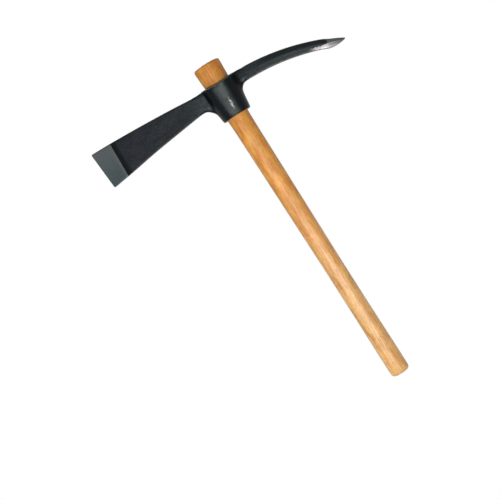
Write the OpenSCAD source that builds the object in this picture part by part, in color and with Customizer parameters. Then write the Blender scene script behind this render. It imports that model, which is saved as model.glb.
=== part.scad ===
// Pick axe: a forged steel head with an axe blade and a curved pick on one eye.
// The wooden handle drops through the eye from above, and its flared top wedges there.
// The origin is the centre of the butt face and +Z runs up the handle.
// The blade points towards -X and the pick towards +X.

/* [Handle] */
// Length from the butt face to the top face
handle_len = 600; // [450:5:900]
// Diameter of the straight stretch at the butt
butt_d = 33.2; // [32:0.2:38]
// Length of that straight stretch, from the butt face
butt_len = 45; // [20:1:80]
// Rounding of the butt's edge
butt_round = 7; // [1:0.5:10]
// Diameter of the grip, the thinnest stretch
grip_d = 32.4; // [26:0.2:33]
// Length over which the butt eases into the grip
waist_len = 90; // [30:1:120]
// Length of the straight grip
grip_len = 70; // [20:1:120]
// Diameter at the upper end of the straight taper above the grip
shank_d = 36.6; // [33:0.2:38]
// Length of the flare between that taper and the eye
flare_len = 36; // [20:1:60]
// Diameter at the eye's lower rim
seat_d = 38.2; // [37:0.2:46]
// Growth in diameter for each millimetre up the seat
seat_taper = 0.1; // [0.04:0.005:0.16]
// Length that stands out above the eye
stub_len = 35; // [10:1:80]
// Rounding of the top edge
top_round = 4; // [1:0.5:8]

/* [Eye] */
// Height of the eye
eye_h = 63; // [50:1:90]
// Radial gap between the bore and the handle's seat
eye_gap = 0.15; // [0.05:0.05:0.4]
// Wall at the lower rim
eye_low_wall = 6.25; // [4:0.25:12]
// Wall at the upper rim, where the arms join
eye_top_wall = 11.1; // [8:0.1:18]
// Rounding of the rims' outer edges
rim_round = 2; // [0.5:0.25:3]
// Chamfer at the mouths of the bore
mouth_chamfer = 1; // [0.25:0.25:2]
// Depth of the hollow in the upper rim at the front and back
rim_dip = 3.3; // [0.5:0.1:6]
// Width of that hollow along X
rim_dip_w = 46; // [30:1:60]

/* [Arms] */
// Depth of the arms' tops below the upper rim
arm_drop = 1.2; // [0.5:0.1:4]
// Sideways swell of each arm where it joins the eye
side_fillet = 7; // [3:0.5:9]

/* [Blade] */
// Distance from the handle's axis to the upper corner of the cutting edge
blade_reach = 238.5; // [180:0.5:320]
// Length of the cutting edge
edge_w = 64; // [45:1:110]
// Distance by which the edge's lower corner stands back
edge_skew = 4.2; // [0:0.2:10]
// Thickness of the cutting edge
edge_t = 0.8; // [0.4:0.1:2]
// Length of the ground bevel at its upper end
bevel_len = 33.5; // [15:0.5:50]
// Thickness at the bevel line
bevel_t = 8; // [4:0.2:12]
// Height of the blade at the eye
blade_root_h = 29.3; // [22:0.1:40]
// Thickness of the blade at the eye
blade_root_t = 15; // [10:0.2:20]
// Rise of the upper edge from the eye to the corner
blade_rise = 11.8; // [0:0.2:25]
// Bow of the upper edge
blade_bow = 1.7; // [0:0.1:5]
// Chamfer along the blade's edges
blade_chamfer = 1.5; // [0.5:0.1:3]
// Fillet between the blade's lower edge and the eye
blade_fillet = 15; // [4:0.5:20]

/* [Pick] */
// Distance from the handle's axis to the tip
pick_reach = 218.5; // [160:0.5:300]
// Radius of the pick's bend
pick_bend_r = 362; // [280:1:800]
// Height of the pick at the eye
pick_root_h = 21.7; // [16:0.1:30]
// Thickness of the pick at the eye
pick_root_t = 19; // [14:0.2:24]
// Height at the start of the point
neck_h = 14.3; // [8:0.1:18]
// Thickness at the start of the point
neck_t = 13; // [8:0.2:18]
// Length of the point along its upper edge
point_len = 35; // [15:1:60]
// Width of the blunt tip
tip_w = 1.6; // [0.8:0.1:4]
// Chamfer along the pick's edges
pick_chamfer = 3; // [1:0.1:4]
// Fillet between the pick's lower edge and the eye
pick_fillet = 10; // [4:0.5:14]

/* [Hidden] */
$fn = 96;

// Steps in a rounded edge, an eased stretch, a fillet and the length of an arm
round_steps = 6;
ease_steps = 10;
fillet_steps = 6;
arm_steps = 14;

// How far cutters run past the faces that they cut
overcut = 1;
// How far an arm's root reaches into the eye's wall
root_sink = 1;
// The share of a section's half thickness that a chamfer may take
chamfer_share = 0.6;

eye_top_z = handle_len - stub_len;
eye_low_z = eye_top_z - eye_h;
eye_low_r = seat_d / 2 + eye_gap + eye_low_wall;
eye_top_r = seat_r(eye_top_z) + eye_gap + eye_top_wall;
arm_top_z = eye_top_z - arm_drop;

// Radius of the handle's seat and of the eye's outside at a height
function seat_r(z) = seat_d / 2 + seat_taper / 2 * (z - eye_low_z);
function eye_r(z) = eye_low_r + (eye_top_r - eye_low_r) * (z - eye_low_z) / eye_h;

function mix(a, b, s) = a + (b - a) * s;

// A quarter or less of a circle, as points
function arc(centre, r, from, to) =
    [for (i = [0 : round_steps])
        let (a = mix(from, to, i / round_steps))
        centre + r * [cos(a), sin(a)]];

// A cubic run from point p to point q of an outline with a slope at each end
function ease(p, q, slope_p, slope_q) =
    let (run = q.y - p.y)
    [for (i = [0 : ease_steps])
        let (s = i / ease_steps)
        [(2 * s ^ 3 - 3 * s ^ 2 + 1) * p.x + (3 * s ^ 2 - 2 * s ^ 3) * q.x
            + run * ((s ^ 3 - 2 * s ^ 2 + s) * slope_p + (s ^ 3 - s ^ 2) * slope_q),
            p.y + run * s]];

// An arm's section: a rectangle with chamfered corners, as [y, z] points
function section(half_t, low, high, chamfer) =
    let (c = min(chamfer, chamfer_share * half_t, chamfer_share * (high - low) / 2))
    [[half_t, low + c], [half_t, high - c], [half_t - c, high], [c - half_t, high],
        [-half_t, high - c], [-half_t, low + c], [c - half_t, low], [half_t - c, low]];

// Rings that carry an arm's first ring onto the eye, each corner along a quarter ellipse
function root_rings(ring, half_t, middle_z, fillet) =
    [for (i = [fillet_steps : -1 : 1])
        let (a = 90 * i / fillet_steps)
        [for (p = ring)
            let (wall_y = p.y * (1 + side_fillet / half_t),
                wall_z = p.z < middle_z ? p.z - fillet : p.z,
                wall_x = sqrt((eye_r(wall_z) - root_sink) ^ 2 - wall_y ^ 2))
            [mix(p.x, wall_x, sin(a)), mix(p.y, wall_y, 1 - cos(a)), mix(p.z, wall_z, 1 - cos(a))]]];

// A closed solid through rings of points, each ring further along +X than the last
module loft(rings) {
    n = len(rings[0]);
    end = n * (len(rings) - 1);
    sides = [for (i = [0 : len(rings) - 2], j = [0 : n - 1])
        let (a = i * n + j, b = i * n + (j + 1) % n)
        each [[a, a + n, b + n], [a, b + n, b]]];
    caps = [for (j = [1 : n - 2])
        each [[0, j, j + 1], [end, end + j + 1, end + j]]];
    polyhedron([for (ring = rings) each ring], concat(sides, caps));
}

// The blade, drawn towards +X
module blade() {
    root_x = eye_r(arm_top_z - blade_root_h) + blade_fillet;
    bevel_x = blade_reach - bevel_len;
    low_drop = edge_w - blade_root_h - blade_rise;
    ring_at = function (x, half_t)
        let (s = (x - root_x) / (blade_reach - root_x),
            high = arm_top_z + blade_rise * s + 4 * blade_bow * s * (1 - s),
            low = arm_top_z - blade_root_h - low_drop * s)
        [for (p = section(half_t, low, high, blade_chamfer))
            [x - (x > bevel_x ? edge_skew * (high - p.y) / (high - low) : 0), p.x, p.y]];
    body = [for (i = [0 : arm_steps])
        ring_at(mix(root_x, bevel_x, i / arm_steps),
            mix(blade_root_t, bevel_t, i / arm_steps) / 2)];
    root = root_rings(body[0], blade_root_t / 2, arm_top_z - blade_root_h / 2, blade_fillet);
    loft(concat(root, body, [ring_at(blade_reach, edge_t / 2)]));
}

// The pick: it bends down round one centre, and its point is ground away from below
module pick() {
    root_x = eye_r(arm_top_z - pick_root_h) + pick_fillet;
    centre_z = arm_top_z - pick_root_h / 2 - pick_bend_r;
    crown_r = pick_bend_r + neck_h / 2;
    tip_a = asin((pick_reach - root_x) / crown_r);
    neck_a = tip_a - point_len / crown_r * 180 / PI;
    ring_at = function (a, half_t, low, high)
        [for (p = section(half_t, pick_bend_r + low, pick_bend_r + high, pick_chamfer))
            [root_x + p.y * sin(a), p.x, centre_z + p.y * cos(a)]];
    body = [for (i = [0 : arm_steps])
        let (s = i / arm_steps, half_h = mix(pick_root_h, neck_h, s) / 2)
        ring_at(neck_a * s, mix(pick_root_t, neck_t, s) / 2, -half_h, half_h)];
    point = [for (i = [1 : ease_steps])
        let (s = i / ease_steps)
        ring_at(mix(neck_a, tip_a, s), mix(neck_t, tip_w, s) / 2,
            neck_h / 2 - mix(neck_h, tip_w, s), neck_h / 2)];
    root = root_rings(body[0], pick_root_t / 2, arm_top_z - pick_root_h / 2, pick_fillet);
    loft(concat(root, body, point));
}

// The eye's wall, before the bore is cut
module eye_wall() {
    rotate_extrude()
        polygon(concat([[0, eye_low_z]],
            arc([eye_low_r - rim_round, eye_low_z + rim_round], rim_round, -90, 0),
            arc([eye_top_r - rim_round, eye_top_z - rim_round], rim_round, 0, 90),
            [[0, eye_top_z]]));
}

// The tapered bore with its chamfered mouths
module eye_bore() {
    low_r = seat_r(eye_low_z) + eye_gap;
    top_r = seat_r(eye_top_z) + eye_gap;
    rotate_extrude()
        polygon([[0, eye_low_z - overcut], [low_r + mouth_chamfer + overcut, eye_low_z - overcut],
            [low_r, eye_low_z + mouth_chamfer], [top_r, eye_top_z - mouth_chamfer],
            [top_r + mouth_chamfer + overcut, eye_top_z + overcut], [0, eye_top_z + overcut]]);
}

// The shallow hollow across the upper rim, cut from front to back
module rim_hollow() {
    hollow_r = (rim_dip_w ^ 2 / 4 + rim_dip ^ 2) / (2 * rim_dip);
    translate([0, 0, eye_top_z - rim_dip + hollow_r])
        rotate([90, 0, 0])
            cylinder(r = hollow_r, h = 2 * (eye_top_r + overcut), center = true);
}

module head() {
    color("#3a4145")
        difference() {
            union() {
                eye_wall();
                mirror([1, 0, 0]) blade();
                pick();
            }
            eye_bore();
            rim_hollow();
        }
}

module handle() {
    grip_low_z = butt_len + waist_len;
    grip_top_z = grip_low_z + grip_len;
    flare_low_z = eye_low_z - flare_len;
    shank_slope = (shank_d - grip_d) / 2 / (flare_low_z - grip_top_z);
    top_r = seat_r(handle_len - top_round);
    color("#c98f4a")
        rotate_extrude()
            polygon(concat([[0, 0]],
                arc([butt_d / 2 - butt_round, butt_round], butt_round, -90, 0),
                ease([butt_d / 2, butt_len], [grip_d / 2, grip_low_z], 0, 0),
                [[grip_d / 2, grip_top_z]],
                ease([shank_d / 2, flare_low_z], [seat_d / 2, eye_low_z], shank_slope, seat_taper / 2),
                arc([top_r - top_round, handle_len - top_round], top_round, 0, 90),
                [[0, handle_len]]));
}

head();
handle();
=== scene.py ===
from math import atan2, cos, pi, radians, sin, sqrt

import bmesh
import bpy
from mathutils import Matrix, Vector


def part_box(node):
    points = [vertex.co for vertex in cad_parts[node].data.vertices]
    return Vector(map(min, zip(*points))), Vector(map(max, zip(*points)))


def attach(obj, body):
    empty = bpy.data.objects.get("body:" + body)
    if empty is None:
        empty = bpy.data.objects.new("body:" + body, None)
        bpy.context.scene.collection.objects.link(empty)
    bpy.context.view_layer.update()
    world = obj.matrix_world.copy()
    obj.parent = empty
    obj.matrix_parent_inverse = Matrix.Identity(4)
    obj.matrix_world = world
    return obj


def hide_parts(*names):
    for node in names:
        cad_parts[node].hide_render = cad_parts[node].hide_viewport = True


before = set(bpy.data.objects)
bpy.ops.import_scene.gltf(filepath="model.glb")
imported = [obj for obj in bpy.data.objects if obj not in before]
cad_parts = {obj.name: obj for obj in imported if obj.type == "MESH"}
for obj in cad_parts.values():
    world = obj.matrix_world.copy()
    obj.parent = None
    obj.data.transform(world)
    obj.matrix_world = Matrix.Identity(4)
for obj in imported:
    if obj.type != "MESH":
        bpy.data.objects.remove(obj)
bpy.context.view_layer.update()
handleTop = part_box("handle")[1].z
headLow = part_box("head")[0]
near = 0.00001              # how close two places are to count as one
nearLine = 0.0001           # how close a place is to a slanting line to lie on it
foldTones = {"clean_angle": radians(100), "dirt_angle": radians(80)}  # white and black folds, flat is 90
print("frame loaded, handle", round(handleTop, 3), "m long")


# Small tools for editing a mesh by place

def ease(share):
    # smooth step from 0 to 1
    share = min(1, max(0, share))
    return share ** 2 * (3 - 2 * share)


def editedMesh():
    return bmesh.from_edit_mesh(bpy.context.edit_object.data)


def selectBy(kind, test):
    bpy.ops.mesh.select_mode(type=kind)
    bpy.ops.mesh.select_all(action="DESELECT")
    mesh = editedMesh()
    parts = {"VERT": mesh.verts, "EDGE": mesh.edges, "FACE": mesh.faces}[kind]
    for part in parts:
        if test(part):
            part.select_set(True)
    mesh.select_flush_mode()
    bmesh.update_edit_mesh(bpy.context.edit_object.data)


def selectedBox():
    spots = [vert.co for vert in editedMesh().verts if vert.select]
    low = [min(spot[axis] for spot in spots) for axis in range(3)]
    high = [max(spot[axis] for spot in spots) for axis in range(3)]
    return low, high


def creaseEdges(amount, test):
    selectBy("EDGE", test)
    bpy.ops.transform.edge_crease(value=amount)


def ringRadius(radius, columns):
    # a subdivided ring draws in a little, so its cage is larger
    return radius * 3 / (2 + cos(2 * pi / columns))


def startPiece(addPrimitive, name, **values):
    bpy.ops.object.select_all(action="DESELECT")
    addPrimitive(**values)
    piece = bpy.context.object
    piece.name = name
    piece.data.name = name
    bpy.ops.object.transform_apply(location=True, rotation=True, scale=True)
    bpy.ops.object.mode_set(mode="EDIT")
    return piece


def ringTo(z, radius, columns):
    # grows a new ring of edges from the selected open ring
    low, high = selectedBox()
    grow = ringRadius(radius, columns) / max(high[0], high[1])
    bpy.ops.mesh.extrude_edges_move(TRANSFORM_OT_translate={"value": (0, 0, z - high[2])})
    bpy.ops.transform.resize(value=(grow, grow, 1), center_override=(0, 0, z))


def finishPiece(piece, levels):
    bpy.ops.mesh.select_all(action="SELECT")
    bpy.ops.mesh.remove_doubles(threshold=near)
    bpy.ops.mesh.normals_make_consistent(inside=False)
    bpy.ops.object.mode_set(mode="OBJECT")
    smooth = piece.modifiers.new("smooth", "SUBSURF")
    smooth.levels = levels
    smooth.render_levels = levels
    bpy.ops.object.modifier_apply(modifier="smooth")
    bpy.ops.object.shade_smooth()
    # half grey on flats, brighter on convex edges and darker in hollows
    bpy.ops.geometry.color_attribute_add(
        name="edges", domain="CORNER", data_type="FLOAT_COLOR", color=(1, 1, 1, 1))
    bpy.ops.paint.vertex_color_dirt(blur_iterations=1, dirt_only=False, normalize=False, **foldTones)
    print(piece.name, "has", len(piece.data.polygons), "faces")


# The forged head

eye = {
    "columns": 24,
    "levels": 3,            # subdivision of the whole head
    "lowZ": 0.502,
    "topZ": 0.565,
    "lowR": 0.0255,
    "topR": 0.0335,
    "boreLowR": 0.01935,
    "boreTopR": 0.0225,
    "lowRound": 0.001,
    "topRound": 0.0018,
    "mouth": 0.001,         # chamfer at each end of the bore
    "boreStart": 0.004,     # a row this far in keeps the chamfer crisp
    "boreRows": 3,
    "middleZ": 0.548,       # row between the arms' fillets and their tops
    "armShare": 0.5,        # an arm's root reaches this much of its X out to each side
    "armLift": 0.0016,      # brings the wall level with the rim where an arm leaves it
    "liftWide": 1.3,        # that place is this much wider than the arm's root
    "flankShare": 0.7,      # the wall tapers, so an arm's outer columns start at this much of its width
    "dip": 0.003,           # hollow of the upper rim at the front and back
    "dipWide": 0.046,
}
blade = {
    "shoulderZ": 0.565,     # top of the fillet beside the eye
    "topZ": 0.5642,
    "wallLow": 0.5150,      # where the lower fillet runs out on the eye
    "joinX": 0.0281,        # a fillet joins the flat sides to the eye
    "joinHalf": 0.0101,
    "joinLow": 0.5224,
    "filletX": 0.0308,
    "filletHalf": 0.0087,
    "filletLow": 0.5330,
    "filletOut": 0.0067,    # how much further out the fillet's lowest row stands
    "rootX": 0.0460,
    "rootHalf": 0.0084,
    "rootHigh": 0.0297,
    "eyeLean": 0.085,       # the sides lean near the eye, as its wall does
    "rootLean": 0.034,
    "bevelX": 0.2037,
    "bevelMidZ": 0.5445,
    "bevelLean": 0.04,      # the bevel line stands further out below than above
    "bevelHalf": 0.004,
    "edgeHalf": 0.0004,
    "reach": -headLow.x,
    "rise": 0.0116,
    "bow": 0.0018,
    "fall": 0.0229,
    "flare": 0.0022,        # the lower edge turns out a little before the bevel
    "flareFrom": 0.145,
    "flareTo": 0.200,
    "skew": 0.0042,         # the cutting edge's lower corner stands back
    "stations": 6,
    "edgeCrease": 0.45,
    "groundCrease": 0.9,
    "foldAngle": 45,        # folds beyond the bevel line that are sharper get that crease
}
pick = {
    "shoulderZ": 0.5652,
    "topZ": 0.5646,
    "wallLow": 0.5310,
    "joinX": 0.0316,
    "joinHalf": 0.0108,
    "joinLow": 0.5355,
    "filletX": 0.0356,
    "filletHalf": 0.0101,
    "filletLow": 0.5401,
    "rootX": 0.0406,
    "rootHalf": 0.0098,
    "rootHigh": 0.0223,
    "bendR": 0.394,
    "rootFall": 0.9,        # the bend falls this many degrees at its root
    "stations": 8,
    "swell": 1.12,          # ridge along the sides, which grows from the root
    "swellRun": 0.45,
    "ridgeCrease": 0.6,
    "edgeCrease": 0.75,
    "neckAngle": 22.4,      # the ground point starts here
    "neckHalf": 0.0064,
    "neckHigh": 0.0160,
    "stepAngle": 0.4,       # a small step where the grinding starts
    "stepDeep": 0.0014,
    "tipAngle": 27.3,
    "tipHalf": 0.0007,
    "tipHigh": 0.0022,
    "tipDrop": 0.0005,      # the ground crown falls this much more to the tip
    "shoulderAngle": 25.15,  # here the underside turns up to the tip
    "shoulderHalf": 0.0036,
    "shoulderHigh": 0.0128,
    "groundSwell": 1.45,    # ridge between the point's two facets
    "groundCrease": 0.8,
    "foldAngle": 30,        # folds of the tip that are sharper get that crease
    "rowNear": 0.0005,      # how close to a row's middle its vertices lie
}


def fitPatch(x, half, low, high):
    # lays the selected patch flat across X, in a box of that thickness and height
    lowest, highest = selectedBox()
    middle = [(a + b) / 2 for a, b in zip(lowest, highest)]
    size = (0, half / highest[1], (high - low) / (highest[2] - lowest[2]))
    bpy.ops.transform.resize(value=size, center_override=middle)
    move = (x - middle[0], 0, (low + high) / 2 - middle[2])
    bpy.ops.transform.translate(value=move)


def extrudePatch():
    bpy.ops.mesh.extrude_region_move(TRANSFORM_OT_translate={"value": (0, 0, 0)})


def creaseCorners(amount):
    # the four new lengthwise edges at the corners of the selected patch
    mesh = editedMesh()
    layers = mesh.edges.layers.float
    layer = layers.get("crease_edge") or layers.new("crease_edge")
    patch = [vert for vert in mesh.verts if vert.select]
    widest = max(abs(vert.co.y) for vert in patch)
    for side in (-1, 1):
        flank = [vert for vert in patch if side * vert.co.y > eye["flankShare"] * widest]
        flank.sort(key=lambda vert: vert.co.z)
        for corner in (flank[0], flank[-1]):
            for edge in corner.link_edges:
                if not edge.other_vert(corner).select:
                    edge[layer] = amount
    bmesh.update_edit_mesh(bpy.context.edit_object.data)


def selectRoot(side, low):
    # the faces of the eye's wall that an arm grows from
    def isRoot(face):
        spot = face.calc_center_median()
        outside = sqrt(spot.x ** 2 + spot.y ** 2) > eye["boreTopR"] + eye["mouth"]
        across = abs(spot.y) < eye["armShare"] * side * spot.x
        return outside and across and low < spot.z < eye["topZ"] - eye["topRound"]
    selectBy("FACE", isRoot)


def growRoot(arm, side):
    # the fillets from the eye's wall out to an arm
    selectRoot(side, arm["wallLow"])
    for ring in ("join", "fillet"):
        extrudePatch()
        fitPatch(side * arm[ring + "X"], arm[ring + "Half"], arm[ring + "Low"], arm["shoulderZ"])


def eyeWall():
    columns = eye["columns"]
    lowZ = eye["lowZ"] + eye["lowRound"]
    topZ = eye["topZ"] - eye["topRound"]
    lean = (eye["topR"] - eye["lowR"]) / (eye["topZ"] - eye["lowZ"])
    topR = ringRadius(eye["lowR"] + lean * (topZ - eye["lowZ"]), columns)
    lowR = ringRadius(eye["lowR"] + lean * (lowZ - eye["lowZ"]), columns)
    piece = startPiece(
        bpy.ops.mesh.primitive_cylinder_add, "forgedHead", vertices=columns, radius=topR,
        depth=topZ - lowZ, end_fill_type="NOTHING", location=(0, 0, (topZ + lowZ) / 2))
    selectBy("VERT", lambda vert: vert.co.z < eye["middleZ"])
    taper = lowR / topR
    bpy.ops.transform.resize(value=(taper, taper, 1), center_override=(0, 0, lowZ))
    for z in (blade["wallLow"], pick["wallLow"], eye["middleZ"]):
        bpy.ops.mesh.select_all(action="SELECT")
        bpy.ops.mesh.bisect(plane_co=(0, 0, z), plane_no=(0, 0, 1))
    return piece, lowZ, topZ


def eyeRims(lowZ, topZ):
    # each rim turns inwards to the mouth of the bore, and the bore joins the two
    columns = eye["columns"]
    ends = (
        (lowZ, eye["lowZ"], 1, eye["lowR"] - eye["lowRound"], eye["boreLowR"]),
        (topZ, eye["topZ"], -1, eye["topR"] - eye["topRound"], eye["boreTopR"]),
    )
    for startZ, rimZ, inward, rimR, boreR in ends:
        selectBy("VERT", lambda vert: abs(vert.co.z - startZ) < near)
        ringTo(rimZ, rimR, columns)
        ringTo(rimZ, (rimR + boreR) / 2, columns)
        ringTo(rimZ, boreR + eye["mouth"], columns)
        ringTo(rimZ + inward * eye["mouth"], boreR, columns)
        ringTo(rimZ + inward * eye["boreStart"], boreR, columns)
    selectBy("EDGE", lambda edge: edge.is_boundary)
    bpy.ops.mesh.bridge_edge_loops(number_cuts=eye["boreRows"])


def dipRim():
    # the upper rim is hollow across the front and back
    startZ = eye["topZ"] - 2 * eye["topRound"]
    rows = {round(vert.co.x, 5) for vert in editedMesh().verts if vert.co.z > startZ}
    for x in rows:
        sink = eye["dip"] * (1 - (2 * x / eye["dipWide"]) ** 2)
        if sink > 0:
            selectBy("VERT", lambda vert: abs(vert.co.x - x) < near and vert.co.z > startZ)
            bpy.ops.transform.translate(value=(0, 0, -sink))


def liftArms(topZ):
    # the wall rises to the rim where an arm leaves it, so no step shows there
    def underArm(vert):
        across = abs(vert.co.y) < eye["liftWide"] * eye["armShare"] * abs(vert.co.x)
        return across and abs(vert.co.z - topZ) < near
    selectBy("VERT", underArm)
    bpy.ops.transform.translate(value=(0, 0, eye["armLift"]))


def bladeSection(x):
    # half thickness, lower edge and upper edge of the blade at a distance from the axis
    share = (x - blade["rootX"]) / (blade["bevelX"] - blade["rootX"])
    half = blade["rootHalf"] + share * (blade["bevelHalf"] - blade["rootHalf"])
    if x > blade["bevelX"] + near:
        half = blade["edgeHalf"]
    along = (x - blade["rootX"]) / (blade["reach"] - blade["rootX"])
    flare = blade["flare"] * ease((x - blade["flareFrom"]) / (blade["flareTo"] - blade["flareFrom"]))
    low = blade["topZ"] - blade["rootHigh"] - blade["fall"] * along - flare
    high = blade["topZ"] + blade["rise"] * along + 4 * blade["bow"] * along * (1 - along)
    return half, low, high


def leanSides(x, lean):
    # the sides of the ring at that place lean, thicker above than below
    ring = [vert.co.copy() for vert in editedMesh().verts if abs(vert.co.x - x) < near]
    half = max(spot.y for spot in ring)
    heights = {round(spot.z, 5) for spot in ring}
    middle = (min(heights) + max(heights)) / 2
    for z in heights:
        selectBy("VERT", lambda vert: abs(vert.co.x - x) < near and abs(vert.co.z - z) < 2 * near)
        grow = 1 + lean * (z - middle) / half
        bpy.ops.transform.resize(value=(1, grow, 1), center_override=(x, 0, z))


def bevelSide(spot):
    # how far a place lies from the bevel line, negative towards the cutting edge
    return spot.x + blade["bevelX"] - blade["bevelLean"] * (spot.z - blade["bevelMidZ"])


def growBlade():
    reach = blade["reach"]
    growRoot(blade, -1)
    places = [blade["rootX"] + (blade["bevelX"] - blade["rootX"]) * step / blade["stations"]
              for step in range(blade["stations"] + 1)]
    for x in places:
        extrudePatch()
        fitPatch(-x, *bladeSection(x))
        creaseCorners(blade["edgeCrease"] * min(1, (x - blade["filletX"]) / blade["rootX"]))
    line = (-blade["bevelX"], 0, blade["bevelMidZ"])
    bpy.ops.transform.rotate(value=-atan2(blade["bevelLean"], 1), orient_axis="Y", center_override=line)
    extrudePatch()
    half, low, high = bladeSection(reach)
    fitPatch(-reach, half, low, high)
    creaseCorners(blade["groundCrease"])
    turn = atan2(blade["skew"], high - low)
    bpy.ops.transform.rotate(value=turn, orient_axis="Y", center_override=(-reach, 0, high))

    def onBevelLine(edge):
        return all(abs(bevelSide(vert.co)) < nearLine for vert in edge.verts)

    def onCuttingEdge(edge):
        beyond = all(bevelSide(vert.co) < -nearLine for vert in edge.verts)
        return beyond and edge.calc_face_angle(0) > radians(blade["foldAngle"])

    def onFilletLow(vert):
        return abs(vert.co.x + blade["filletX"]) < near and abs(vert.co.z - blade["filletLow"]) < near

    creaseEdges(blade["groundCrease"], onBevelLine)
    creaseEdges(blade["groundCrease"], onCuttingEdge)
    leanSides(-blade["joinX"], blade["eyeLean"])
    leanSides(-blade["filletX"], blade["eyeLean"])
    leanSides(-blade["rootX"], blade["rootLean"])
    selectBy("VERT", onFilletLow)
    bpy.ops.transform.translate(value=(-blade["filletOut"], 0, 0))


def pickPivot():
    # centre of the bend
    fall = radians(pick["rootFall"])
    rootMiddle = pick["topZ"] - pick["rootHigh"] / 2
    return pick["rootX"] - pick["bendR"] * sin(fall), 0, rootMiddle - pick["bendR"] * cos(fall)


def pickStations():
    # angle round the bend, half thickness, height, radius of the crown and swell of the sides
    found = []
    for step in range(1, pick["stations"] + 1):
        share = step / pick["stations"]
        half = pick["rootHalf"] + share * (pick["neckHalf"] - pick["rootHalf"])
        high = pick["rootHigh"] + share * (pick["neckHigh"] - pick["rootHigh"])
        swell = 1 + (pick["swell"] - 1) * ease(share / pick["swellRun"])
        angle = pick["rootFall"] + share * (pick["neckAngle"] - pick["rootFall"])
        found.append((angle, half, high, pick["bendR"] + high / 2, swell))
    # the point keeps the crown of the bend, less a small step, and is ground away from below
    crownR = found[-1][3] - pick["stepDeep"]
    groundSwell = pick["groundSwell"]
    found.append((pick["neckAngle"] + pick["stepAngle"], pick["neckHalf"], pick["neckHigh"], crownR,
                  (pick["swell"] + groundSwell) / 2))
    found.append((pick["shoulderAngle"], pick["shoulderHalf"], pick["shoulderHigh"], crownR, groundSwell))
    found.append((pick["tipAngle"], pick["tipHalf"], pick["tipHigh"], crownR - pick["tipDrop"], groundSwell))
    return found


def growPick():
    pivot = pickPivot()
    growRoot(pick, 1)
    extrudePatch()
    fitPatch(pick["rootX"], pick["rootHalf"], pick["topZ"] - pick["rootHigh"], pick["topZ"])
    angle, half, high = pick["rootFall"], pick["rootHalf"], pick["rootHigh"]
    crownR = pick["bendR"] + high / 2
    wallTop = eye["topZ"] - eye["topRound"]
    rowShare = (wallTop - eye["middleZ"]) / (wallTop - pick["wallLow"])
    middles = []
    for nextAngle, nextHalf, nextHigh, nextR, swell in pickStations():
        extrudePatch()
        turn = radians(nextAngle - angle)
        bpy.ops.transform.rotate(value=-turn, orient_axis="Y", center_override=pivot)
        out = (sin(radians(nextAngle)), 0, cos(radians(nextAngle)))
        crown = [start + crownR * way for start, way in zip(pivot, out)]
        size = (nextHigh / high, nextHalf / half, nextHigh / high)
        bpy.ops.transform.resize(value=size, center_override=crown)
        bpy.ops.transform.translate(value=[(nextR - crownR) * way for way in out])
        ground = nextAngle > pick["neckAngle"] + near
        creaseCorners(pick["groundCrease"] if ground else pick["edgeCrease"])
        middle = [start + (nextR - nextHigh * rowShare) * way for start, way in zip(pivot, out)]
        middles.append((middle, swell))
        angle, half, high, crownR = nextAngle, nextHalf, nextHigh, nextR

    def onTip(edge):
        sharp = edge.calc_face_angle(0) > radians(pick["foldAngle"])
        return sharp and all(vert.select for vert in edge.verts)

    creaseEdges(pick["groundCrease"], onTip)
    ridgePick(middles)


def ridgePick(middles):
    # the middle row stands proud, so the sides have a soft ridge and the point a sharper one
    ridge, groundRidge = set(), set()
    for (midX, _, midZ), swell in middles:
        def onRow(vert):
            return abs(vert.co.x - midX) + abs(vert.co.z - midZ) < pick["rowNear"]
        widest = max(abs(vert.co.y) for vert in editedMesh().verts if onRow(vert))
        selectBy("VERT", lambda vert: onRow(vert) and abs(vert.co.y) > widest - near)
        bpy.ops.transform.resize(value=(1, swell, 1), center_override=(0, 0, 0))
        row = {vert.index for vert in editedMesh().verts if vert.select}
        ridge |= row
        if swell > pick["swell"]:
            groundRidge |= row
    creaseEdges(pick["ridgeCrease"], lambda edge: all(vert.index in ridge for vert in edge.verts))
    creaseEdges(pick["groundCrease"], lambda edge: all(vert.index in groundRidge for vert in edge.verts))


def buildHead():
    piece, lowZ, topZ = eyeWall()
    eyeRims(lowZ, topZ)
    growBlade()
    growPick()
    liftArms(topZ)
    dipRim()
    finishPiece(piece, eye["levels"])
    return piece


headPiece = buildHead()


# The turned handle

handle = {
    "columns": 32,
    "levels": 2,
    "buttR": 0.0166,
    "buttLong": 0.045,      # the butt is straight up to here
    "buttRound": 0.007,
    "gripR": 0.0162,
    "gripLow": 0.135,
    "gripTop": 0.205,
    "shankR": 0.0183,       # upper end of the taper above the grip
    "flareLow": 0.466,
    "seatR": 0.0191,        # where the flare enters the eye
    "seatLean": 0.05,
    "topRound": 0.004,
    "roundSteps": 4,
    "rowLong": 0.018,
    "endInset": 0.9,        # the grid in each end starts at this much of its radius
}


def handleRadius(z):
    # butt, waist, grip, taper, flare and seat
    shankLean = (handle["shankR"] - handle["gripR"]) / (handle["flareLow"] - handle["gripTop"])
    if z < handle["gripLow"]:
        share = (z - handle["buttLong"]) / (handle["gripLow"] - handle["buttLong"])
        return handle["buttR"] + (handle["gripR"] - handle["buttR"]) * ease(share)
    if z < handle["gripTop"]:
        return handle["gripR"]
    if z < handle["flareLow"]:
        return handle["gripR"] + shankLean * (z - handle["gripTop"])
    if z < eye["lowZ"]:
        # a cubic that goes from the taper into the seat without a kink
        run = eye["lowZ"] - handle["flareLow"]
        share = (z - handle["flareLow"]) / run
        lift = (share ** 3 - 2 * share ** 2 + share) * shankLean
        settle = (share ** 3 - share ** 2) * handle["seatLean"]
        step = (handle["seatR"] - handle["shankR"]) * ease(share)
        return handle["shankR"] + step + run * (lift + settle)
    return handle["seatR"] + handle["seatLean"] * (z - eye["lowZ"])


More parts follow.
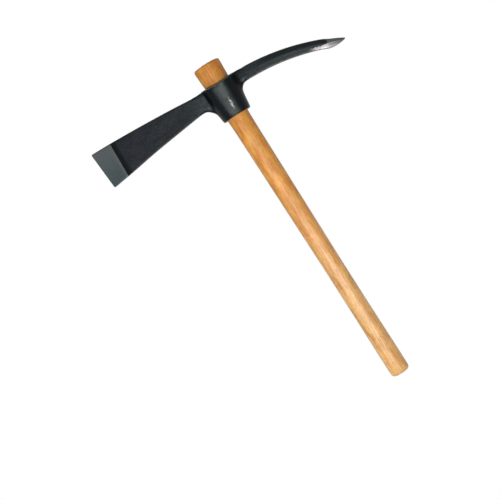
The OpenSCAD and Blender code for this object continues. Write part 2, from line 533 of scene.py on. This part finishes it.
def handleRings():
    # heights and radii from the butt's rounded edge to the top's
    roundLow, roundTop = handle["buttRound"], handle["topRound"]
    angles = [radians(90 * step / handle["roundSteps"]) for step in range(1, handle["roundSteps"] + 1)]
    rings = [(roundLow * (1 - cos(a)), handle["buttR"] - roundLow * (1 - sin(a))) for a in angles]
    straight = handleTop - roundTop - roundLow
    rows = round(straight / handle["rowLong"])
    for row in range(1, rows + 1):
        z = roundLow + straight * row / rows
        rings.append((z, handleRadius(z)))
    endR = rings[-1][1]
    rings += [(handleTop - roundTop * (1 - sin(a)), endR - roundTop * (1 - cos(a))) for a in angles]
    return rings


def buildHandle():
    columns = handle["columns"]
    rings = handleRings()
    firstR = handle["buttR"] - handle["buttRound"]
    piece = startPiece(
        bpy.ops.mesh.primitive_circle_add, "turnedHandle", vertices=columns,
        radius=ringRadius(firstR, columns), fill_type="NOTHING")
    for z, radius in rings:
        ringTo(z, radius, columns)
    # both ends close with a flat grid inside one more ring
    for z, radius in ((0, firstR), (handleTop, rings[-1][1])):
        selectBy("VERT", lambda vert: abs(vert.co.z - z) < near)
        ringTo(z, radius * handle["endInset"], columns)
        bpy.ops.mesh.fill_grid(span=columns // 4)
    finishPiece(piece, handle["levels"])
    return piece


handlePiece = buildHandle()


# Small tools for shader nodes

def addNode(tree, kind, values=None, **settings):
    node = tree.nodes.new(kind)
    for name, value in settings.items():
        setattr(node, name, value)
    for socket, value in (values or {}).items():
        feed(tree, node.inputs[socket], value)
    return node


def feed(tree, socket, source):
    if isinstance(source, bpy.types.NodeSocket):
        tree.links.new(source, socket)
    else:
        socket.default_value = source


def objectPlace(tree):
    return addNode(tree, "ShaderNodeTexCoord").outputs["Object"]


def split(tree, place):
    return addNode(tree, "ShaderNodeSeparateXYZ", {"Vector": place}).outputs


def joined(tree, x, y, z):
    return addNode(tree, "ShaderNodeCombineXYZ", {"X": x, "Y": y, "Z": z}).outputs[0]


def maths(tree, operation, a, b=0.0):
    return addNode(tree, "ShaderNodeMath", {0: a, 1: b}, operation=operation).outputs[0]


def times(tree, *values):
    product = values[0]
    for value in values[1:]:
        product = maths(tree, "MULTIPLY", product, value)
    return product


def plus(tree, *values):
    total = values[0]
    for value in values[1:]:
        total = maths(tree, "ADD", total, value)
    return total


def vectorMaths(tree, operation, a, b=(0, 0, 0)):
    node = addNode(tree, "ShaderNodeVectorMath", {0: a, 1: b}, operation=operation)
    return node.outputs["Value" if operation == "LENGTH" else "Vector"]


def drawn(tree, place, stretch):
    return vectorMaths(tree, "MULTIPLY", place, stretch)


def fromUpright(tree, place):
    # distance from the Z axis
    return vectorMaths(tree, "LENGTH", drawn(tree, place, (1, 1, 0)))


def rise(tree, value, start, end):
    # 0 up to start, 1 from end on, smooth between, and falling if end is lower
    low, high = sorted((start, end))
    node = addNode(tree, "ShaderNodeMapRange", {
        "Value": value, "From Min": low, "From Max": high,
        "To Min": 0.0 if start < end else 1.0, "To Max": 1.0 if start < end else 0.0,
    }, interpolation_type="SMOOTHSTEP")
    return node.outputs["Result"]


def noise(tree, place, scale, detail=4.0, rough=0.55):
    return addNode(tree, "ShaderNodeTexNoise", {
        "Vector": place, "Scale": scale, "Detail": detail, "Roughness": rough,
    }).outputs["Fac"]


def centred(tree, value):
    # noise lies round one half, and this makes it swing both ways round zero
    return maths(tree, "SUBTRACT", value, 0.5)


def blendColour(tree, factor, a, b, way="MIX"):
    node = addNode(tree, "ShaderNodeMix", {0: factor, 6: a, 7: b}, data_type="RGBA", blend_type=way)
    return node.outputs[2]


def blendValue(tree, factor, a, b):
    node = addNode(tree, "ShaderNodeMix", {0: factor, 2: a, 3: b}, data_type="FLOAT")
    return node.outputs[0]


def bump(tree, height, strength, distance, normal=None):
    values = {"Height": height, "Strength": strength, "Distance": distance}
    if normal is not None:
        values["Normal"] = normal
    return addNode(tree, "ShaderNodeBump", values).outputs["Normal"]


def startGroup(name, inputs, outputs):
    group = bpy.data.node_groups.new(name, "ShaderNodeTree")
    for direction, sockets in (("INPUT", inputs), ("OUTPUT", outputs)):
        for socket, kind in sockets.items():
            group.interface.new_socket(socket, in_out=direction, socket_type="NodeSocket" + kind)
    return group, group.nodes.new("NodeGroupInput").outputs, group.nodes.new("NodeGroupOutput").inputs


def useGroup(tree, group, **values):
    node = tree.nodes.new("ShaderNodeGroup")
    node.node_tree = group
    for socket, value in values.items():
        feed(tree, node.inputs[socket], value)
    return node.outputs[0]


def startMaterial(name):
    material = bpy.data.materials.new(name)
    material.use_nodes = True
    return material, material.node_tree, material.node_tree.nodes["Principled BSDF"].inputs


# Effects that steel and wood share

effects = {
    "fineScale": 5.3,       # the fine clouds are this much smaller than the broad ones
    "fineShare": 0.35,
    "cloudSpan": (0.34, 0.66),
    "lineDetail": 6.0,
    "lineRough": 0.6,
    "lineSpan": (0.32, 0.68),
    "wearDetail": 5.0,
    "wearRough": 0.65,
    "wearPatchy": 0.2,      # how far the patches shift the limit of the wear
    "wearSoft": 0.08,
}


def makeMottle():
    # soft clouds of tone in two sizes
    group, given, result = startGroup(
        "mottle", {"Place": "Vector", "Scale": "Float"}, {"Tone": "Float"})
    broad = noise(group, given["Place"], given["Scale"])
    fine = noise(group, given["Place"], times(group, given["Scale"], effects["fineScale"]))
    both = blendValue(group, effects["fineShare"], broad, fine)
    feed(group, result["Tone"], rise(group, both, *effects["cloudSpan"]))
    return group


def makeFibreLines():
    # thin lines along one direction: wood fibres, forging drag and grinding marks
    group, given, result = startGroup(
        "fibreLines", {"Place": "Vector", "Stretch": "Vector", "Scale": "Float"}, {"Lines": "Float"})
    along = drawn(group, given["Place"], given["Stretch"])
    lines = noise(group, along, given["Scale"], effects["lineDetail"], effects["lineRough"])
    feed(group, result["Lines"], rise(group, lines, *effects["lineSpan"]))
    return group


def makeEdgeWear():
    # convex edges, broken up so that the wear is patchy
    group, given, result = startGroup(
        "edgeWear", {"Place": "Vector", "Start": "Float", "Scale": "Float"}, {"Wear": "Float"})
    edges = addNode(group, "ShaderNodeAttribute", attribute_name="edges").outputs["Fac"]
    patches = noise(group, given["Place"], given["Scale"], effects["wearDetail"], effects["wearRough"])
    shifted = plus(group, edges, times(group, centred(group, patches), effects["wearPatchy"]))
    above = maths(group, "SUBTRACT", shifted, given["Start"])
    feed(group, result["Wear"], rise(group, above, 0.0, effects["wearSoft"]))
    return group


mottle = makeMottle()
fibreLines = makeFibreLines()
edgeWear = makeEdgeWear()


# Paint and bare steel of the head

# a pair of places is where something starts and where it is full,
# three values for noise are its scale, detail and roughness,
# and two for bump are its strength and distance
steel = {
    "paintDark": (0.0008, 0.0012, 0.0022, 1),
    "paintGreen": (0.0040, 0.0084, 0.0070, 1),
    "paintViolet": (0.0120, 0.0114, 0.0172, 1),
    "hollowShade": (0.0008, 0.0014, 0.0016, 1),
    "dustAndSheen": (0.040, 0.047, 0.039, 1),
    "wornAndGlints": (0.100, 0.108, 0.102, 1),
    "rubbed": (0.150, 0.156, 0.146, 1),
    "bevelDark": (0.0225, 0.0305, 0.0322, 1),
    "bevelLight": (0.0440, 0.0490, 0.0510, 1),
    # the point's steel in a painted shaded tone for its upper facets and a painted lit tone for its lower
    # ones
    "pointShadedUpper": (0.075, 0.077, 0.078, 1),
    "pointLitLower": (0.150, 0.143, 0.144, 1),
    "pointBurrHighlight": (0.270, 0.255, 0.259, 1),
    "specular": 0.12,
    "specularTint": (0.84, 0.95, 1.0, 1),

    # paint
    "clouds": 55.0,
    "drag": {"Stretch": (0.05, 1, 1), "Scale": 420.0},
    "dragShare": (0.25, 0.7),       # on the rest of the head and on the pick
    "pickRun": 0.01,
    "hues": 60.0,
    "hueStretch": (0.6, 1, 1),
    "violetX": (-0.030, -0.150),    # more violet out along the blade
    "violetShare": 0.55,
    "hollowShadePast": (0.0150, 0.0040),   # painted shade: a dark stretch behind the bevel, as a shallow hollow there would have
    "eyeR": (0.040, 0.032),         # painted shade: the eye is darker than the arms, so its flanks look shaded
    "eyeShade": 0.75,
    "dustSheenX": (0.0135, 0.002),       # dust and a painted highlight, in a band down the front and back of the eye
    "dustSheenEven": 0.45,
    "dustSheenCloudy": 0.55,
    "paintRough": (0.36, 0.27),
    "hollowShadeRough": 0.75,
    "forged": (90.0, 4.0, 0.6),
    "forgedBump": (0.35, 0.0014),
    "dragBump": (0.15, 0.0005),
    "grain": (1400.0, 3.0, 0.6),
    "fineBump": (0.08, 0.0003),

    # wear
    "wearStart": 0.68,
    "wearScale": 240.0,
    "wearShare": 0.6,
    "wornGlintMetal": 0.8,
    "rimR": (0.0360, 0.0345),       # the eye's upper rim wears sooner and takes a painted highlight along its front edge
    "rimZ": (0.552, 0.556),
    "rimSooner": 0.11,
    "underR": (0.005, 0.002),       # the pick's lower edge also turns lighter sooner
    "underX": (0.050, 0.090),
    "underSooner": 0.11,
    "underClimb": 0.0233,           # the pick thins, so that edge climbs this much per metre
    "rubX": 0.0005,                 # rubbed line down the front of the eye
    "rubHalf": 0.0037,
    "rubLow": (0.509, 0.517),
    "rubTop": (0.539, 0.527),
    "rubFront": (0.0, -0.01),
    "rubWander": (130.0, 4.0, 0.55),
    "rubAside": 0.010,
    "rubBreaks": (300.0, 5.0, 0.65),
    "rubBroken": (0.40, 0.62),
    "scuffsAndGlints": (                     # lighter spots and how far round them: painted highlights at the blade's lower fillet and the pick's root, and a rubbed smudge near the eye's upper rim
        ((-0.0325, 0.0095, 0.5365), 0.0070),
        ((0.0385, 0.0090, 0.5455), 0.0065),
        ((0.0040, 0.0325, 0.5590), 0.0060),
    ),
    "scuffGlintCore": 0.1,
    "scuffGlintBreaks": (330.0, 4.0, 0.6),
    "scuffGlintBroken": (0.30, 0.62),
    "scuffGlintShare": 0.35,

    # ground steel
    "grind": {"Stretch": (0.04, 1, 1), "Scale": 2200.0},
    "grindDeep": 0.3,
    "steelRough": (0.34, 0.44),
    "bevelSoft": 0.0002,
    "bevelZ": (0.512, 0.574),       # the bevel is lighter towards its top
    "bevelFade": 0.8,
    "bevelGrind": 0.2,
    "nearPaint": (-0.006, -0.001),  # and beside the paint, a painted highlight along the bevel's inner edge
    "nearPaintHighlight": 0.6,
    "pointX": 0.188,                # the paint ends raggedly here
    "pointSoft": 0.0012,
    "pointGrind": 0.15,
    "ragged": (260.0, 6.0, 0.65),
    "raggedX": 0.014,
    "raggedR": (0.006, 0.001),      # behind the point's facets and on them
    "facetX": (0.170, 0.203),
    "facetLift": 0.0042,            # the strip's upper limit rises this much to the point's ridge
    "stripX": (0.148, 0.170),       # bare strip along the pick's lower side
    "stripHigh": 0.0055,
    "stripTaper": 0.04,             # it narrows this much per metre behind the point
    "stripSoft": 0.0010,
    "burrHighlight": (-0.0030, -0.0052),     # painted highlight along the lower border, below the strip's upper limit
}


def bareSteel(tree, place, axes):
    # masks of the ground bevel, and of the point with the strip that runs back from it
    lean = times(tree, maths(tree, "SUBTRACT", axes["Z"], blade["bevelMidZ"]), blade["bevelLean"])
    past = plus(tree, maths(tree, "SUBTRACT", axes["X"], lean), blade["bevelX"])
    bevel = rise(tree, past, steel["bevelSoft"], -steel["bevelSoft"])

    ragged = centred(tree, noise(tree, place, *steel["ragged"]))
    tornX = plus(tree, axes["X"], times(tree, ragged, steel["raggedX"]))
    facets = rise(tree, axes["X"], *steel["facetX"])
    point = rise(tree, tornX, steel["pointX"] - steel["pointSoft"], steel["pointX"] + steel["pointSoft"])
    fromPivot = drawn(tree, vectorMaths(tree, "SUBTRACT", place, pickPivot()), (1, 0, 1))
    bendR = vectorMaths(tree, "LENGTH", fromPivot)
    tornR = plus(tree, bendR, times(tree, ragged, blendValue(tree, facets, *steel["raggedR"])))
    stripR = pick["bendR"] - pick["neckHigh"] / 2 + steel["stripHigh"]
    behind = maths(tree, "MINIMUM", plus(tree, axes["X"], -steel["pointX"]), 0.0)
    narrower = times(tree, behind, steel["stripTaper"])
    limit = plus(tree, times(tree, facets, steel["facetLift"]), narrower, stripR)
    above = maths(tree, "SUBTRACT", tornR, limit)
    lower = rise(tree, above, steel["stripSoft"], -steel["stripSoft"])
    # painted highlight along the strip's lower border
    burrHighlight = rise(tree, above, *steel["burrHighlight"])
    strip = times(tree, lower, rise(tree, tornX, *steel["stripX"]))
    return {"past": past, "bendR": bendR, "bevel": bevel, "lower": lower, "burrHighlight": burrHighlight,
            "point": maths(tree, "MAXIMUM", point, strip)}


def paintCoat(tree, place, axes, bare):
    # cloudy paint, drag lines along the arms, painted shade behind the bevel and on the eye's flanks, dust
    # and a painted highlight down the eye's middle
    tone = useGroup(tree, mottle, Place=place, Scale=steel["clouds"])
    onPick = rise(tree, axes["X"], pick["rootX"], pick["rootX"] + steel["pickRun"])
    bent = blendValue(tree, onPick, axes["Z"], bare["bendR"])
    along = joined(tree, axes["X"], axes["Y"], bent)
    drag = useGroup(tree, fibreLines, Place=along, **steel["drag"])
    patches = useGroup(tree, mottle, Place=drawn(tree, place, steel["hueStretch"]), Scale=steel["hues"])
    onBlade = rise(tree, axes["X"], *steel["violetX"])
    violet = blendValue(tree, steel["violetShare"], patches, onBlade)
    colour = blendColour(tree, violet, steel["paintGreen"], steel["paintViolet"])
    brushed = blendValue(tree, blendValue(tree, onPick, *steel["dragShare"]), tone, drag)
    colour = blendColour(tree, brushed, steel["paintDark"], colour)
    # painted shade of a shallow hollow behind the bevel, darker and rougher
    hollowShade = rise(tree, bare["past"], *steel["hollowShadePast"])
    colour = blendColour(tree, hollowShade, colour, steel["hollowShade"])
    # painted shade: the eye's paint is darkened, leaving its flanks shaded beside the lit arms
    onEye = rise(tree, fromUpright(tree, place), *steel["eyeR"])
    colour = blendColour(tree, times(tree, onEye, steel["eyeShade"]), colour, steel["paintDark"])
    # dust and a painted highlight: a lighter band down the middle of the eye's front and back
    middle = rise(tree, maths(tree, "ABSOLUTE", axes["X"]), *steel["dustSheenX"])
    dustSheenShare = times(tree, middle, plus(tree, steel["dustSheenEven"], times(tree, tone, steel["dustSheenCloudy"])))
    colour = blendColour(tree, dustSheenShare, colour, steel["dustAndSheen"])
    rough = blendValue(tree, hollowShade, blendValue(tree, brushed, *steel["paintRough"]), steel["hollowShadeRough"])
    return colour, rough, times(tree, drag, onPick)


def rubbedLine(tree, place, axes):
    # paint rubbed through in a broken line down the front of the eye
    wander = times(tree, centred(tree, noise(tree, place, *steel["rubWander"])), steel["rubAside"])
    aside = maths(tree, "ABSOLUTE", plus(tree, axes["X"], wander, -steel["rubX"]))
    line = rise(tree, aside, steel["rubHalf"], 0.0)
    low = rise(tree, axes["Z"], *steel["rubLow"])
    top = rise(tree, axes["Z"], *steel["rubTop"])
    broken = rise(tree, noise(tree, place, *steel["rubBreaks"]), *steel["rubBroken"])
    front = rise(tree, axes["Y"], *steel["rubFront"])
    return times(tree, line, low, top, broken, front)


def scuffedAndGlinting(tree, place, axes):
    # soft lighter spots on both faces: painted highlights at the fillets, and a rubbed smudge on the eye
    folded = joined(tree, axes["X"], maths(tree, "ABSOLUTE", axes["Y"]), axes["Z"])
    patchy = rise(tree, noise(tree, place, *steel["scuffGlintBreaks"]), *steel["scuffGlintBroken"])
    total = 0.0
    for spot, radius in steel["scuffsAndGlints"]:
        away = vectorMaths(tree, "LENGTH", vectorMaths(tree, "SUBTRACT", folded, spot))
        total = plus(tree, total, rise(tree, away, radius, radius * steel["scuffGlintCore"]))
    return times(tree, total, patchy)


def paintWearAndGlints(tree, place, axes, bendR, paint):
    # the paint with its edge wear, a painted highlight on the upper rim, lighter spots and a rubbed line,
    # and how much of each place is lighter
    # wear and a painted highlight come sooner along the eye's upper rim
    onRim = rise(tree, fromUpright(tree, place), *steel["rimR"])
    rim = times(tree, onRim, rise(tree, axes["Z"], *steel["rimZ"]))
    climb = times(tree, maths(tree, "SUBTRACT", axes["X"], pick["rootX"]), steel["underClimb"])
    fromEdge = maths(tree, "SUBTRACT", bendR, plus(tree, climb, pick["bendR"] - pick["rootHigh"] / 2))
    under = times(tree, rise(tree, fromEdge, *steel["underR"]), rise(tree, axes["X"], *steel["underX"]))
    sooner = plus(tree, times(tree, rim, steel["rimSooner"]), times(tree, under, steel["underSooner"]))
    start = maths(tree, "SUBTRACT", steel["wearStart"], sooner)
    wear = useGroup(tree, edgeWear, Place=place, Start=start, Scale=steel["wearScale"])
    # the spots are painted highlights at the fillets, with one rubbed smudge
    scuffsAndGlints = times(tree, scuffedAndGlinting(tree, place, axes), steel["scuffGlintShare"])
    wornAndGlints = maths(tree, "MAXIMUM", times(tree, wear, steel["wearShare"]), scuffsAndGlints)
    colour = blendColour(tree, wornAndGlints, paint, steel["wornAndGlints"])
    rubbed = rubbedLine(tree, place, axes)
    colour = blendColour(tree, rubbed, colour, steel["rubbed"])
    return colour, maths(tree, "MAXIMUM", wornAndGlints, rubbed)


def groundSteel(tree, axes, grind, bare):
    # the bevel is lighter above, with a painted highlight beside the paint; the point is painted lighter
    # below as lit and darker above as shaded, with a painted highlight at its lower border
    faded = times(tree, rise(tree, axes["Z"], *steel["bevelZ"]), steel["bevelFade"])
    # painted highlight along the bevel's inner edge
    beside = times(tree, rise(tree, bare["past"], *steel["nearPaint"]), steel["nearPaintHighlight"])
    lighter = plus(tree, faded, times(tree, grind, steel["bevelGrind"]), beside)
    bevel = blendColour(tree, lighter, steel["bevelDark"], steel["bevelLight"])
    # painted light and shade: lit lower facets and strip, shaded upper facets
    point = blendColour(tree, bare["lower"], steel["pointShadedUpper"], steel["pointLitLower"])
    point = blendColour(tree, times(tree, grind, steel["pointGrind"]), point, steel["pointShadedUpper"])
    point = blendColour(tree, bare["burrHighlight"], point, steel["pointBurrHighlight"])
    return blendColour(tree, bare["point"], bevel, point)


def headMaterial():
    material, tree, shader = startMaterial("forgedSteel")
    place = objectPlace(tree)
    axes = split(tree, place)
    bare = bareSteel(tree, place, axes)
    ground = maths(tree, "MAXIMUM", bare["bevel"], bare["point"])
    unground = maths(tree, "SUBTRACT", 1.0, ground)
    grind = useGroup(tree, fibreLines, Place=place, **steel["grind"])
    paint, paintRough, drag = paintCoat(tree, place, axes, bare)
    paint, wornAndGlints = paintWearAndGlints(tree, place, axes, bare["bendR"], paint)

    colour = blendColour(tree, ground, paint, groundSteel(tree, axes, grind, bare))
    feed(tree, shader["Base Color"], colour)
    feed(tree, shader["Metallic"], maths(tree, "MAXIMUM", ground, times(tree, wornAndGlints, steel["wornGlintMetal"])))
    steelRough = blendValue(tree, grind, *steel["steelRough"])
    feed(tree, shader["Roughness"], blendValue(tree, ground, paintRough, steelRough))
    shader["Specular IOR Level"].default_value = steel["specular"]
    shader["Specular Tint"].default_value = steel["specularTint"]

    # forging marks, drag lines, fine grain and grinding lines
    forged = noise(tree, place, *steel["forged"])
    normal = bump(tree, times(tree, forged, unground), *steel["forgedBump"])
    normal = bump(tree, times(tree, drag, unground), *steel["dragBump"], normal)
    grain = noise(tree, place, *steel["grain"])
    fine = blendValue(tree, ground, grain, times(tree, grind, steel["grindDeep"]))
    normal = bump(tree, fine, *steel["fineBump"], normal)
    feed(tree, shader["Normal"], normal)
    return material


# Varnished wood of the handle, with pairs and threes of values as for the steel

wood = {
    "honey": (0.700, 0.312, 0.038, 1),
    "amber": (0.640, 0.190, 0.010, 1),
    "straw": (0.720, 0.405, 0.098, 1),
    "paleLit": (0.840, 0.600, 0.285, 1),
    "oiledAndShaded": (0.500, 0.200, 0.010, 1),
    "shade": (0.520, 0.360, 0.220, 1),
    "pore": (0.210, 0.072, 0.014, 1),
    "endLight": (0.420, 0.190, 0.042, 1),
    "endDark": (0.200, 0.074, 0.014, 1),
    "specular": 0.44,

    # growth rings, and shares of the way from one to the next
    "pith": (0.040, 0.052, 0),      # their centre, outside the handle
    "pithTilt": (radians(1.4), radians(-0.9), 0),
    "ringWide": 0.0034,
    "ringSlow": (40.0, 3.0, 0.55),
    "ringStretch": (1, 1, 0.12),
    "ringWander": 0.007,
    "lateRise": (0.35, 0.92),
    "lateFall": (1.0, 0.94),
    "lineRise": (0.72, 0.90),
    "lineShow": (70.0, 3.0, 0.55),
    "lineStretch": (1, 1, 0.15),
    "lineShown": (0.46, 0.62),

    # colour along the handle
    "fibres": {"Stretch": (1, 1, 0.02), "Scale": 900.0},
    "streaks": {"Stretch": (1, 1, 0.045), "Scale": 330.0},
    "blotches": 80.0,
    "shades": {"late": 0.15, "lines": 0.35, "streaks": 0.28, "fibres": 0.12, "blotches": 0.45},
    "hues": 90.0,
    "hueShifts": {"amber": (0, 0, 0), "straw": (0.31, 0.17, 0.43)},
    "hueShare": 0.75,
    "cloudStretch": (1, 1, 0.4),
    "oiledShadeZ": (0.40, 0.58),         # darker towards the head: oil in the end and painted shade
    "oiledShadeShare": 0.6,
    "paleLitZ": (0.42, 0.12),          # lighter towards the butt, as painted light
    "paleLitShare": 0.5,

    # pores and cut ends
    "poreDashes": (1500.0, 2.0, 0.5),
    "poreStretch": (1, 1, 0.045),
    "poreOpen": (0.6, 0.7),
    "earlyFall": (0.4, 0.1),
    "earlyPores": 0.75,
    "allPores": 0.2,
    "cutFacing": (0.80, 0.97),
    "endLate": 0.75,
    "endBlotches": 0.25,
    "endShare": 0.85,

    # varnish
    "satin": (0.38, 0.26),          # roughness towards the head and towards the butt
    "oiledRough": 0.2,
    "fibreRough": 0.1,
    "poreRough": 0.6,
    "streakBump": (0.25, 0.0005),
    "fibreBump": (0.15, 0.0004),
    "poreBump": (0.25, 0.0003),
}


def growthRings(tree, place):
    # place between two rings, round a leaning pith, with a slow wander
    leaning = addNode(tree, "ShaderNodeMapping", {
        "Vector": place, "Location": wood["pith"], "Rotation": wood["pithTilt"]}).outputs[0]
    slow = noise(tree, drawn(tree, place, wood["ringStretch"]), *wood["ringSlow"])
    wander = times(tree, centred(tree, slow), wood["ringWander"])
    depth = plus(tree, fromUpright(tree, leaning), wander)
    return maths(tree, "FRACT", maths(tree, "DIVIDE", depth, wood["ringWide"]))


def woodMarks(tree, place, ring):
    # dark bands of late wood, grain lines, long streaks, fine fibres and soft blotches
    fall = rise(tree, ring, *wood["lateFall"])
    show = noise(tree, drawn(tree, place, wood["lineStretch"]), *wood["lineShow"])
    lines = times(tree, rise(tree, ring, *wood["lineRise"]), fall, rise(tree, show, *wood["lineShown"]))
    clouds = drawn(tree, place, wood["cloudStretch"])
    return {
        "late": times(tree, rise(tree, ring, *wood["lateRise"]), fall),
        "lines": lines,
        "streaks": useGroup(tree, fibreLines, Place=place, **wood["streaks"]),
        "fibres": useGroup(tree, fibreLines, Place=place, **wood["fibres"]),
        "blotches": useGroup(tree, mottle, Place=clouds, Scale=wood["blotches"]),
    }


def woodColour(tree, place, marks, oiledAndShaded, litPaler):
    # honey with patches of two other hues, under the marks
    colour = wood["honey"]
    for hue, shift in wood["hueShifts"].items():
        shifted = drawn(tree, vectorMaths(tree, "ADD", place, shift), wood["cloudStretch"])
        patches = useGroup(tree, mottle, Place=shifted, Scale=wood["hues"])
        colour = blendColour(tree, times(tree, patches, wood["hueShare"]), colour, wood[hue])
    colour = blendColour(tree, oiledAndShaded, colour, wood["oiledAndShaded"])
    colour = blendColour(tree, times(tree, litPaler, wood["paleLitShare"]), colour, wood["paleLit"])
    shade = plus(tree, *(times(tree, mark, wood["shades"][name]) for name, mark in marks.items()))
    return blendColour(tree, shade, colour, wood["shade"], "MULTIPLY")


def openPores(tree, place, ring):
    # short dark dashes that gather in the early wood
    dashes = noise(tree, drawn(tree, place, wood["poreStretch"]), *wood["poreDashes"])
    early = times(tree, rise(tree, ring, *wood["earlyFall"]), wood["earlyPores"])
    return times(tree, rise(tree, dashes, *wood["poreOpen"]), plus(tree, early, wood["allPores"]))


def endGrain(tree, marks, colour):
    # the cut ends show the rings
    facing = addNode(tree, "ShaderNodeTexCoord").outputs["Normal"]
    cut = rise(tree, maths(tree, "ABSOLUTE", split(tree, facing)["Z"]), *wood["cutFacing"])
    late = times(tree, marks["late"], wood["endLate"])
    tone = plus(tree, late, times(tree, marks["blotches"], wood["endBlotches"]))
    ends = blendColour(tree, tone, wood["endLight"], wood["endDark"])
    return blendColour(tree, times(tree, cut, wood["endShare"]), colour, ends)


def handleMaterial():
    material, tree, shader = startMaterial("varnishedWood")
    place = objectPlace(tree)
    height = split(tree, place)["Z"]
    ring = growthRings(tree, place)
    marks = woodMarks(tree, place, ring)
    pores = openPores(tree, place, ring)
    # painted shade and oil darken the handle towards the head
    oiledAndShaded = times(tree, rise(tree, height, *wood["oiledShadeZ"]), wood["oiledShadeShare"])
    # painted light: the handle is lighter towards the butt
    litPaler = rise(tree, height, *wood["paleLitZ"])
    colour = woodColour(tree, place, marks, oiledAndShaded, litPaler)
    colour = blendColour(tree, pores, colour, wood["pore"])
    feed(tree, shader["Base Color"], endGrain(tree, marks, colour))

    handled = plus(tree, blendValue(tree, litPaler, *wood["satin"]), times(tree, oiledAndShaded, wood["oiledRough"]))
    satin = plus(tree, handled, times(tree, marks["fibres"], wood["fibreRough"]))
    feed(tree, shader["Roughness"], blendValue(tree, pores, satin, wood["poreRough"]))
    shader["Specular IOR Level"].default_value = wood["specular"]
    normal = bump(tree, marks["streaks"], *wood["streakBump"])
    normal = bump(tree, marks["fibres"], *wood["fibreBump"], normal)
    normal = bump(tree, maths(tree, "SUBTRACT", 1.0, pores), *wood["poreBump"], normal)
    feed(tree, shader["Normal"], normal)
    return material


def giveMaterial(piece, material):
    piece.data.materials.clear()
    piece.data.materials.append(material)


giveMaterial(headPiece, headMaterial())
giveMaterial(handlePiece, handleMaterial())
print("materials made")

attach(headPiece, "head")
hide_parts("head")
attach(handlePiece, "handle")
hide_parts("handle")


# Camera, floor and lights

studio = {
    "middle": (-0.1019, 0, 0.3041),     # what the camera looks at
    "frameWide": 0.822,     # what the picture takes in there
    "lens": 150,
    "sensor": 36,
    "tilt": 32.496,         # the handle leans this many degrees in the picture
    "floorZ": -0.42,
    "floorHalf": 6.0,
    "floorTone": (0.9, 0.9, 0.9, 1),
    "floorRough": 0.9,
    "floorWhite": 0.75,     # how white the floor is seen near the object
    "fadeFrom": 0.35,       # past this it goes over into the white background
    "fadeTo": 0.9,
    "ambient": 0.25,
}
lamps = {
    "key": {"spot": (-0.30, -1.5, 0.19), "aim": (0, 0, 0.40), "wide": 2.2, "high": 0.30, "watts": 27},
    "fill": {"spot": (-1.0, -0.9, 1.6), "aim": (0, 0, 0.35), "wide": 1.4, "high": 1.4, "watts": 4},
    "back": {"spot": (0.1, 1.6, 1.35), "aim": (0, 0, 0.35), "wide": 1.4, "high": 1.2, "watts": 26},
}


def addCamera():
    away = studio["lens"] * studio["frameWide"] / studio["sensor"]
    spot = (studio["middle"][0], -away, studio["middle"][2])
    bpy.ops.object.camera_add(location=spot, rotation=(radians(90), radians(studio["tilt"]), 0))
    camera = bpy.context.object
    camera.data.lens = studio["lens"]
    camera.data.sensor_width = studio["sensor"]
    bpy.context.scene.camera = camera


def seenDirectly(tree):
    # 1 for rays that show the background itself
    path = addNode(tree, "ShaderNodeLightPath").outputs
    seen = maths(tree, "MAXIMUM", path["Is Camera Ray"], path["Is Glossy Ray"])
    return maths(tree, "MAXIMUM", seen, path["Is Transmission Ray"])


def addWorld():
    world = bpy.data.worlds.new("studio")
    world.use_nodes = True
    tree = world.node_tree
    level = studio["ambient"]
    colour = blendColour(tree, seenDirectly(tree), (level, level, level, 1), (1, 1, 1, 1))
    feed(tree, tree.nodes["Background"].inputs["Color"], colour)
    bpy.context.scene.world = world


def addFloor():
    bpy.ops.object.select_all(action="DESELECT")
    bpy.ops.mesh.primitive_plane_add(size=2 * studio["floorHalf"], location=(0, 0, studio["floorZ"]))
    floor = bpy.context.object
    floor.name = "floor"
    bpy.ops.object.transform_apply(location=True)
    material, tree, shader = startMaterial("paleFloor")
    shader["Base Color"].default_value = studio["floorTone"]
    shader["Roughness"].default_value = studio["floorRough"]
    shader["Specular IOR Level"].default_value = 0.0
    faded = rise(tree, fromUpright(tree, objectPlace(tree)), studio["fadeFrom"], studio["fadeTo"])
    white = blendValue(tree, faded, studio["floorWhite"], 1.0)
    glow = addNode(tree, "ShaderNodeEmission", {"Color": (1, 1, 1, 1), "Strength": 1.0})
    mix = addNode(tree, "ShaderNodeMixShader", {
        0: times(tree, white, seenDirectly(tree)),
        1: tree.nodes["Principled BSDF"].outputs[0], 2: glow.outputs[0]})
    # from below the floor doesn't hide the object
    clear = addNode(tree, "ShaderNodeBsdfTransparent")
    below = addNode(tree, "ShaderNodeNewGeometry").outputs["Backfacing"]
    mix = addNode(tree, "ShaderNodeMixShader", {0: below, 1: mix.outputs[0], 2: clear.outputs[0]})
    feed(tree, tree.nodes["Material Output"].inputs["Surface"], mix.outputs[0])
    giveMaterial(floor, material)


def addLamps():
    for name, lamp in lamps.items():
        run = [aim - spot for aim, spot in zip(lamp["aim"], lamp["spot"])]
        level = sqrt(run[0] ** 2 + run[1] ** 2)
        turn = (atan2(level, -run[2]), 0, atan2(-run[0], run[1]))
        bpy.ops.object.light_add(type="AREA", location=lamp["spot"], rotation=turn)
        light = bpy.context.object
        light.name = name
        light.data.shape = "RECTANGLE"
        light.data.size = lamp["wide"]
        light.data.size_y = lamp["high"]
        light.data.energy = lamp["watts"]
        light.visible_camera = False


addCamera()
addWorld()
addFloor()
addLamps()
bpy.context.scene.view_settings.view_transform = "Standard"
print("studio ready")
